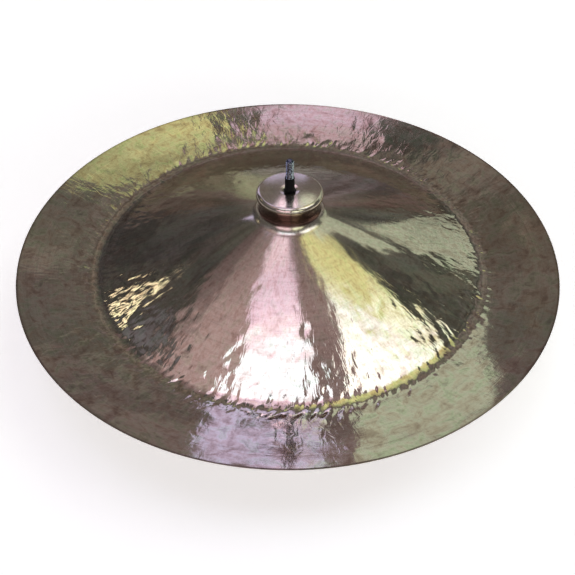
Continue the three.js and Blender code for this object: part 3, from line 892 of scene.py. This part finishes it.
def make_cup_washer():
    """The pressed cup: a flat floor, a drawn corner and a rolled lip."""
    foot, height = foot_and_height("cup_washer")
    low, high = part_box("cup_washer")
    outer = (high.x - low.x) / 2 / MM
    inner = outer - CUP_WALL
    corners = [(CUP_BORE, 0, 0.15), (outer, 0, 1.8), (outer, height, 0.6), (inner, height, 0.6),
               (inner, CUP_FLOOR, 0.5), (CUP_BORE, CUP_FLOOR, 0.15), (CUP_BORE, 0, 0)]
    return placed(turned("cup", corners, 160), raised(foot))


def make_stem():
    """The stem: a bar with chamfered ends and the hole of its pin across it."""
    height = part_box("stem")[1].z / MM
    face = STEM_RADIUS - STEM_CHAMFER
    corners = [(0, 0, 0), (face, 0, 0.2), (STEM_RADIUS, STEM_CHAMFER, 0.3),
               (STEM_RADIUS, height - STEM_CHAMFER, 0.3), (face, height, 0.2), (0, height, 0)]
    stem = turned("stem_bar", corners, 96, run=6)
    return combined(stem, pin_cut(STEM_PIN_RADIUS, STEM_PIN_HEIGHT), "DIFFERENCE")


def make_plain_washer():
    low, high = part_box("plain_washer")
    thick = (high.x - low.x) / MM
    corners = [(BOLT_BORE, 0, 0.1), (WASHER_RADIUS, 0, 0.3), (WASHER_RADIUS, thick, 0.3),
               (BOLT_BORE, thick, 0.1), (BOLT_BORE, 0, 0)]
    return placed(turned("washer_disc", corners, 96), across_from("plain_washer"))


def make_bolt():
    """Carriage bolt: a domed head, a square neck and a threaded shank."""
    low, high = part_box("pivot_bolt")
    length = (high.x - low.x) / MM
    shank = threaded("bolt_thread", length - BOLT_HEAD_HEIGHT / 2)
    placed(shank, raised(BOLT_HEAD_HEIGHT / 2))
    dome = turned("bolt_dome", [
        (0, 0, 0),
        (BOLT_HEAD_RADIUS / 2, 0, BOLT_HEAD_RADIUS),
        (BOLT_HEAD_RADIUS, BOLT_HEAD_HEIGHT * 0.75, BOLT_HEAD_RADIUS / 4),
        (BOLT_HEAD_RADIUS, BOLT_HEAD_HEIGHT, 0.15),
        (0, BOLT_HEAD_HEIGHT, 0),
    ], 72)
    half = ROD_RADIUS * MM
    foot, top = (BOLT_HEAD_HEIGHT - 0.5) * MM, (BOLT_HEAD_HEIGHT + BOLT_NECK_DEPTH) * MM
    outline = ((-half, -half), (half, -half), (half, half), (-half, half))
    square = [(x, y, z) for z in (foot, top) for x, y in outline]
    sides = [(i, (i + 1) % 4, (i + 1) % 4 + 4, i + 4) for i in range(4)]
    neck = mesh_object("bolt_neck", square, [(3, 2, 1, 0), (4, 5, 6, 7), *sides])
    combined(dome, neck, "UNION")
    combined(dome, shank, "UNION")
    dome.name = "bolt"
    dome.data.set_sharp_from_angle(angle=math.radians(40))
    return placed(dome, across_from("pivot_bolt"))


# Assembly

zinc = plated_steel()
chrome = chromed_casting()
fitted(make_cymbal(), "cymbal", "plate", bronze_material())
fitted(make_sleeve(), "cymbal_sleeve", "seat", black_nylon())
felt = fitted(make_felt(), "lower_felt", "seat", grey_felt())
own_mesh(felt)
fitted(make_rod(), "threaded_rod", "head", rod_steel())
fitted(make_cup_washer(), "cup_washer", "head", zinc)
fitted(machined("rod_lock_nut", 0.12), "rod_lock_nut", "head", zinc)
fitted(machined("rod_spring_pin", 0.1), "rod_spring_pin", "head", zinc)
fitted(cast("tilter_head", 0.34, 10), "tilter_head", "head", chrome)
fitted(cast("tilter_base", 0.34, 10), "tilter_base", "base", chrome)
fitted(make_stem(), "stem", "base", stem_steel())
fitted(machined("stem_spring_pin", 0.12), "stem_spring_pin", "base", zinc)
fitted(machined("brake_disc", 0.1), "brake_disc", "base", brake_fibre())
fitted(make_bolt(), "pivot_bolt", "base", zinc)
fitted(make_plain_washer(), "plain_washer", "base", zinc)
fitted(cast("wing_nut", 0.26, 6), "wing_nut", "wing", chrome)

# Camera

RIM_Z = 0.0908
CAMERA_AT = Vector((0.0027, -0.5327, RIM_Z + 0.4464))
PITCH, YAW, ROLL = 0.7791, 0.017, 0.0175
SENSOR = 36.0
# In pixels of the photograph, with the centre counted from its left side
FOCAL_PX, CENTRE_PX, FRAME_PX = 645.8, 299.7, 575

ahead = math.cos(PITCH)
forward = Vector((math.sin(YAW) * ahead, math.cos(YAW) * ahead, -math.sin(PITCH)))
level = forward.cross(Vector((0, 0, 1))).normalized()
upward = level.cross(forward)
right = level * math.cos(ROLL) + upward * math.sin(ROLL)
up = -level * math.sin(ROLL) + upward * math.cos(ROLL)
camera_data = bpy.data.cameras.new("camera")
camera_data.sensor_width = SENSOR
camera_data.lens = FOCAL_PX / FRAME_PX * SENSOR
camera_data.shift_x = (FRAME_PX / 2 - CENTRE_PX) / FRAME_PX
camera_data.clip_end = 100
camera = bpy.data.objects.new("camera", camera_data)
facing = Matrix((right, up, -forward)).transposed().to_4x4()
camera.matrix_world = Matrix.Translation(CAMERA_AT) @ facing
bpy.context.scene.collection.objects.link(camera)
bpy.context.scene.camera = camera

# Floor: pale paper that glows for the camera, more so further out, and a little for the metal

FLOOR_RADII = (0, 400, 2000, 9000)
FLOOR_IN_METAL = 0.12

floor_rings = [circle(r, 0, 64) for r in FLOOR_RADII]
floor = cleaned(lathed("floor", floor_rings, closed=False), close_ends=False)
paper = Shader("floor_paper", Roughness=0.95)
paper.set("Base Color", paper.ramp(paper.noise(paper.place, 40, 2), (0.3, 0.92), (0.7, 0.935)))
rays = paper.node("ShaderNodeLightPath").outputs
paper.bsdf.inputs["Emission Color"].default_value = (1, 1, 1, 1)
far_out = paper.ramp(paper.math("MULTIPLY", polar_of(paper)[0], 0.25), (0.12, 0.5), (0.6, 1.0))
seen = paper.math("MULTIPLY", rays["Is Camera Ray"], far_out)
mirrored = paper.math("MULTIPLY", rays["Is Glossy Ray"], FLOOR_IN_METAL)
paper.set("Emission Strength", paper.math("MAXIMUM", seen, mirrored))
floor.data.materials.append(paper.material)

# Lamps: soft panels on a wide dome, and cards close behind and over the object

SUBJECT = Vector((0, 0, RIM_Z))
# Distances in metres: of the dome, of the panels behind it and of the room, and of the near cards
DOME, BACK_DOME, ROOM_DOME = 4.0, 4.4, 4.8
CARD_BEHIND, CARD_OVER = 0.18, 0.05


def aimed(x, y, distance=DOME):
    """The point that lies x degrees to the right of overhead and y degrees away from the camera."""
    away = max(math.hypot(x, y), 1e-6)
    turn = math.radians(away)
    out = math.sin(turn)
    return SUBJECT + Vector((out * x / away, out * y / away, math.cos(turn))) * distance


def behind(x, y):
    return aimed(x, y, BACK_DOME)


def card(x, z):
    return SUBJECT + Vector((x, CARD_BEHIND, z))


def over(x, z):
    return SUBJECT + Vector((x, CARD_OVER, z))


def glow_material(name):
    """A light as strong and as coloured as each point's own glow says."""
    glow = bpy.data.materials.new(name)
    glow.use_nodes = True
    tree = glow.node_tree
    tree.nodes.clear()
    emission = tree.nodes.new("ShaderNodeEmission")
    level_at = tree.nodes.new("ShaderNodeAttribute")
    level_at.attribute_name = "glow"
    output = tree.nodes.new("ShaderNodeOutputMaterial")
    tree.links.new(level_at.outputs["Color"], emission.inputs["Color"])
    tree.links.new(emission.outputs[0], output.inputs[0])
    return glow


def panel(name, points, levels, wide):
    """A glowing sheet from rows of points, wide to a row, each with its own light."""
    faces = [(i * wide + j, i * wide + j + 1, (i + 1) * wide + j + 1, (i + 1) * wide + j)
             for i in range(len(points) // wide - 1) for j in range(wide - 1)]
    sheet = mesh_object(name, points, faces)
    layer = sheet.data.attributes.new("glow", "FLOAT_COLOR", "POINT")
    layer.data.foreach_set("color", [c for level_here in levels for c in (*level_here, 1.0)])
    sheet.data.materials.append(glow_material(name))
    sheet.visible_camera = False


def softbox(name, rows, place, dapple=0.16):
    """A panel from rows of (height, from, to, level, colour), blended in between and put up by place."""
    steps, across = 5, 10
    points, levels = [], []
    rng = np.random.default_rng(len(rows))
    for k in range((len(rows) - 1) * steps + 1):
        i = min(k // steps, len(rows) - 2)
        t = k / steps - i
        (v0, a0, b0, l0, c0), (v1, a1, b1, l1, c1) = rows[i], rows[i + 1]
        a, b, v = a0 + (a1 - a0) * t, b0 + (b1 - b0) * t, v0 + (v1 - v0) * t
        for j in range(across + 1):
            points.append(tuple(place(a + (b - a) * j / across, v)))
            shade = rng.uniform(1 - dapple, 1 + dapple)
            levels.append([(l0 * (1 - t) * p + l1 * t * q) * shade for p, q in zip(c0, c1)])
    panel(name, points, levels, across + 1)


def room_light(x, y):
    """How light the room behind the lamps is, in the direction of x and y."""
    if y > 78:
        return (0.17, 0.15, 0.16) if x > -8 else (0.20, 0.19, 0.15)
    if abs(x) < 26 and y > 62:
        return 0.22, 0.185, 0.19
    if abs(x) < 26 and y > 30:
        return (0.22, 0.20, 0.18) if x < 0 else (0.22, 0.20, 0.19)
    if y > 64:
        return 0.15, 0.12, 0.11
    if x < -28:
        return 0.085, 0.082, 0.085
    return 0.125, 0.13, 0.12


def dappled_room():
    """A dim, uneven room all round the far side, so that no dent in the metal mirrors one flat tone."""
    rng = np.random.default_rng(5)
    xs, ys = range(-64, 65, 4), range(12, 93, 4)
    points, levels = [], []
    for y in ys:
        for x in xs:
            points.append(tuple(aimed(x, min(y, 89), ROOM_DOME)))
            shade = rng.uniform(0.5, 1.5)
            levels.append([c * shade * rng.uniform(0.93, 1.07) for c in room_light(x, y)])
    panel("room", points, levels, len(xs))


# Colours of the lamps
WHITE, HAZE, LAVENDER = (0.85, 0.95, 1.15), (0.95, 0.93, 1.1), (0.76, 0.72, 1.1)
BLUSH, ROSE, PINK, SMOKE = (1.0, 0.87, 1.05), (1.0, 0.8, 1.09), (1.0, 0.76, 0.92), (1.05, 0.81, 0.87)
CREAM, PALE, SAGE = (0.94, 1.0, 1.04), (0.9, 1.0, 0.86), (0.88, 1.0, 0.82)
PRIMROSE, STRAW, OLIVE, GOLD = (0.94, 1.0, 0.7), (0.93, 1.0, 0.55), (1.0, 1.02, 0.52), (1.0, 0.92, 0.66)

softbox("key_left", [
    (-14, -20, 8.5, 2.4, WHITE), (-6, -16.6, 7.1, 2.4, WHITE), (-1.5, -15.7, 6.2, 2.15, WHITE),
    (2, -15.4, 4.8, 1.8, BLUSH), (5, -14.4, 3.6, 1.55, ROSE), (8, -14.4, 2.8, 1.36, ROSE),
    (9.8, -14.3, 3.9, 1.28, ROSE), (11.5, -13.4, 1.1, 1.2, ROSE), (13.3, -11.4, -0.3, 1.28, PINK),
    (16, -13.3, -1.5, 1.55, BLUSH), (17.5, -13, 0.4, 1.4, ROSE), (20.5, -5.8, 2.2, 0.95, ROSE),
    (23, -5.2, 2.0, 0.88, ROSE), (26, -4.2, 1.6, 0.85, PINK), (30, -3.0, 0.9, 0.82, PINK),
], aimed)
softbox("key_left_low", [
    (-25, -50, -36, 0.26, HAZE), (4, -48, -36, 0.26, HAZE), (20, -44, -37, 0.2, HAZE),
], behind)
softbox("key_left_side", [
    (-8, -34, -14, 0.66, SMOKE), (7, -33.3, -13, 0.62, SMOKE), (9, -28, -13, 0.56, SMOKE),
    (15.8, -25, -12, 0.44, SMOKE), (18.6, -24, -12, 0.36, SMOKE), (25.2, -21, -10, 0.3, SMOKE),
    (30, -19, -9, 0.22, SMOKE),
], behind)
softbox("key_left_far", [
    (8, -33.3, -28, 0.46, SMOKE), (11, -33.8, -27, 0.4, SMOKE), (15.8, -34.1, -25, 0.3, SMOKE),
    (18.6, -32.1, -24, 0.25, SMOKE), (25.2, -28.8, -21, 0.19, SMOKE), (30, -25, -19, 0.15, SMOKE),
], behind)
softbox("key_gap", [
    (-10, 7, 18, 0.3, SMOKE), (2, 4, 18, 0.34, SMOKE), (5, 3, 17, 0.42, SMOKE),
    (9, 2, 16, 0.38, SMOKE), (14, -1, 12, 0.3, SMOKE), (19, -2, 8, 0.22, SMOKE),
], behind)
softbox("key_right", [
    (-14, 16.5, 40, 2.6, CREAM), (-3, 16.7, 42, 2.6, CREAM), (1.1, 16.8, 44, 2.6, CREAM),
    (5.6, 16.7, 44, 2.1, CREAM), (8.8, 15.3, 31, 1.75, CREAM), (11.6, 13.8, 30, 1.38, PRIMROSE),
    (14.2, 10.5, 30, 1.25, STRAW), (16, 7.3, 30, 1.05, OLIVE), (19, 6.5, 30, 1.1, OLIVE),
    (22, 5.2, 30, 1.1, OLIVE), (24.2, 4.2, 29.6, 1.0, OLIVE),
], aimed)
softbox("key_right_high", [
    (24.2, 4.2, 29.6, 1.0, OLIVE), (27.5, 2.8, 26.2, 0.85, STRAW), (31, 2.4, 25.5, 0.78, STRAW),
    (34, 2.6, 15, 0.62, STRAW), (37, 3, 9.5, 0.6, STRAW),
], aimed, 0.4)
softbox("key_right_end", [
    (5.6, 30, 47, 2.1, CREAM), (8.8, 30, 47, 1.9, CREAM), (12, 29.8, 45.5, 1.9, PALE),
    (15, 29.8, 42.5, 1.9, PALE), (17.5, 29.8, 38.5, 1.6, PRIMROSE), (19, 29.8, 35.3, 1.35, PRIMROSE),
    (22.9, 29.8, 33.3, 1.2, STRAW), (24.2, 29.5, 30, 1.1, STRAW),
], aimed)
softbox("side_right", [
    (44.5, 45, 54, 0.62, SAGE), (47, 35, 54, 0.66, SAGE), (50, 32.5, 54, 0.64, SAGE),
    (57, 36, 52, 0.6, SAGE), (62, 38, 50, 0.56, SAGE), (66, 41, 48, 0.5, SAGE),
    (69, 43.5, 46, 0.46, SAGE),
], aimed, 0.6)
softbox("side_left", [
    (24.5, -51, -46.5, 2.3, GOLD), (26.5, -50.5, -44, 2.3, GOLD), (29, -48.5, -41, 2.2, GOLD),
    (30.5, -45.5, -39, 2.0, GOLD),
], aimed, 0.3)
softbox("low_left", [
    (72, -25, -12, 0.35, PRIMROSE), (80, -21, -7, 0.45, PRIMROSE), (88, -18, -5, 0.45, PRIMROSE),
], aimed, 0.3)
softbox("fill_left", [
    (-40, -48, 2, 1.8, PINK), (-58, -40, 2, 1.5, PINK), (-75, -30, 2, 1.8, BLUSH),
], aimed, 0.3)
softbox("fill_right", [
    (-40, 9, 48, 1.9, PRIMROSE), (-58, 8, 40, 1.6, PALE), (-75, 7, 30, 1.9, CREAM),
], aimed, 0.3)
softbox("card_middle", [
    (0.112, -0.0515, 0.034, 1.15, LAVENDER), (0.14, -0.0505, 0.03, 1.15, LAVENDER),
    (0.161, -0.05, 0.0275, 1.15, LAVENDER),
], card)
softbox("over_left", [
    (0.074, -0.084, -0.048, 1.15, LAVENDER), (0.092, -0.077, -0.048, 1.15, LAVENDER),
    (0.107, -0.069, -0.047, 1.15, LAVENDER), (0.12, -0.057, -0.046, 1.1, LAVENDER),
    (0.137, -0.056, -0.046, 1.1, LAVENDER),
], over)
softbox("over_left_high", [
    (0.138, -0.062, 0.027, 1.1, LAVENDER), (0.18, -0.074, 0.03, 1.1, LAVENDER),
    (0.225, -0.084, 0.033, 1.2, LAVENDER),
], over)
softbox("over_right", [
    (0.074, 0.067, 0.19, 0.7, SAGE), (0.086, 0.065, 0.184, 0.7, SAGE),
    (0.095, 0.058, 0.178, 0.7, SAGE), (0.115, 0.056, 0.172, 0.74, SAGE),
    (0.121, 0.056, 0.105, 0.85, SAGE), (0.186, 0.062, 0.105, 0.9, SAGE),
    (0.225, 0.069, 0.11, 0.95, SAGE),
], over)
softbox("over_bell_left", [
    (0.106, -0.011, 0.008, 0.9, ROSE), (0.116, -0.013, 0.009, 1.9, ROSE),
    (0.137, -0.024, 0.011, 2.6, BLUSH),
], over)
softbox("over_bell_right", [
    (0.103, 0.014, 0.03, 0.8, PALE), (0.116, 0.012, 0.036, 1.2, PALE),
    (0.137, 0.013, 0.04, 1.3, PALE),
], over)
dappled_room()

# World: a dim room, and a pale backdrop for the camera only

ROOM_GREY, BACKDROP_GREY = (0.135, 0.132, 0.130, 1), (0.95, 0.95, 0.95, 1)

world = bpy.data.worlds.new("studio")
world.use_nodes = True
tree = world.node_tree
background = tree.nodes["Background"]
background.inputs["Color"].default_value = ROOM_GREY
pale = tree.nodes.new("ShaderNodeBackground")
pale.inputs["Color"].default_value = BACKDROP_GREY
to_camera = tree.nodes.new("ShaderNodeLightPath").outputs["Is Camera Ray"]
choice = tree.nodes.new("ShaderNodeMixShader")
for socket, source in zip(choice.inputs, (to_camera, background.outputs[0], pale.outputs[0])):
    tree.links.new(source, socket)
tree.links.new(choice.outputs[0], tree.nodes["World Output"].inputs["Surface"])
bpy.context.scene.world = world
bpy.context.scene.view_settings.view_transform = "Standard"
